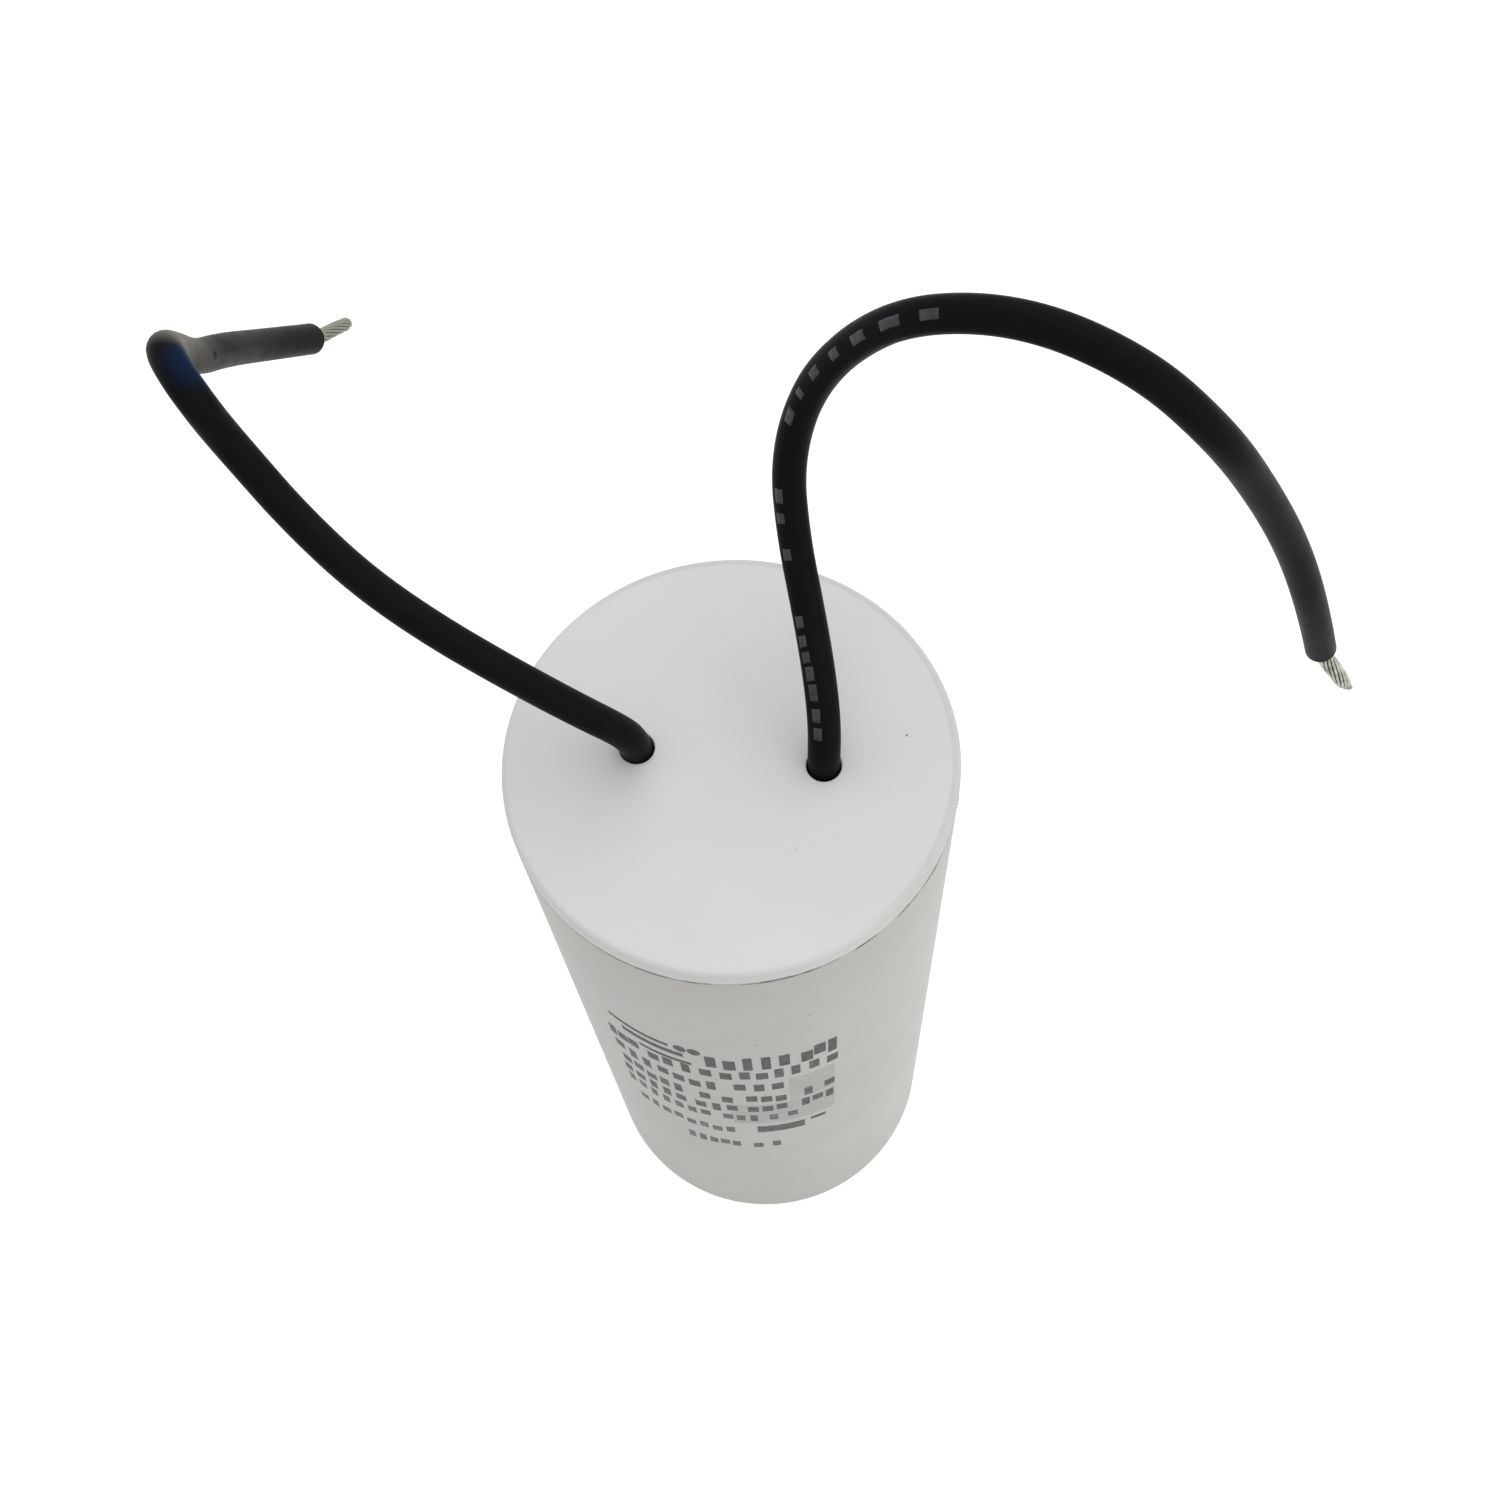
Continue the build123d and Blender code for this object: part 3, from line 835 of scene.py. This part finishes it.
bpy.context.scene.view_settings.view_transform = "Standard"
camera()
insulation = insulation_finish()
wire = tinned_finish()
marks = lead_marks(ink_finish("lead_print", (0.030, 0.032, 0.038), (0.013, 0.014, 0.016), 0.14))
lead("right_lead", RIGHT_ROUTE, RIGHT_TIP, (RIGHT_SPREAD, RIGHT_CUT), insulation, wire)
lead("left_lead", LEFT_ROUTE, LEFT_TIP, (LEFT_SPREAD, LEFT_CUT), insulation, wire)
can_plastic = moulded_finish("can_plastic", (0.60, 0.61, 0.58), (0.57, 0.58, 0.55))
paint_node("case", can_plastic)
paint_node("lid", moulded_finish("lid_plastic", (0.755, 0.76, 0.755), (0.74, 0.75, 0.73), LID_RIM_PAINTED_SHADE))
seam_bead(can_plastic)
print_marks("print_field", ink_finish("print_field", (0.46, 0.47, 0.445), (0.51, 0.52, 0.49), 0.1))
print_marks("print_dark", ink_finish("print_dark", (0.022, 0.022, 0.020), (0.10, 0.10, 0.095), 0.04))
print_marks("print_worn", ink_finish("print_worn", (0.030, 0.031, 0.029), (0.085, 0.086, 0.082), 0.10))
print_marks("print_faded", ink_finish("print_faded", (0.060, 0.061, 0.058), (0.15, 0.152, 0.145), 0.12))
INNER_FINISHES = {
    ("left_lead_inner", "right_lead_inner"): insulation,
    ("left_tail", "right_tail"): wire,
    ("top_solder", "bottom_solder"): metal_finish(
        "solder", (0.60, 0.60, 0.58), (0.42, 0.42, 0.41), 0.22, 300
    ),
    ("top_end_spray", "bottom_end_spray"): metal_finish(
        "sprayed_zinc", (0.42, 0.43, 0.44), (0.26, 0.27, 0.28), 0.55, 1500
    ),
    ("film_roll",): film_finish("metallised_film", (0.62, 0.64, 0.66), (0.40, 0.42, 0.45)),
    ("outer_wrap",): film_finish("plain_film", (0.60, 0.62, 0.60), (0.48, 0.50, 0.48)),
    ("core_tube",): moulded_finish("core_plastic", (0.66, 0.66, 0.64), (0.58, 0.58, 0.56)),
    ("potting",): resin_finish(),
}
for names, finish in INNER_FINISHES.items():
    for name in names:
        paint_node(name, finish)
floor()
lighting()
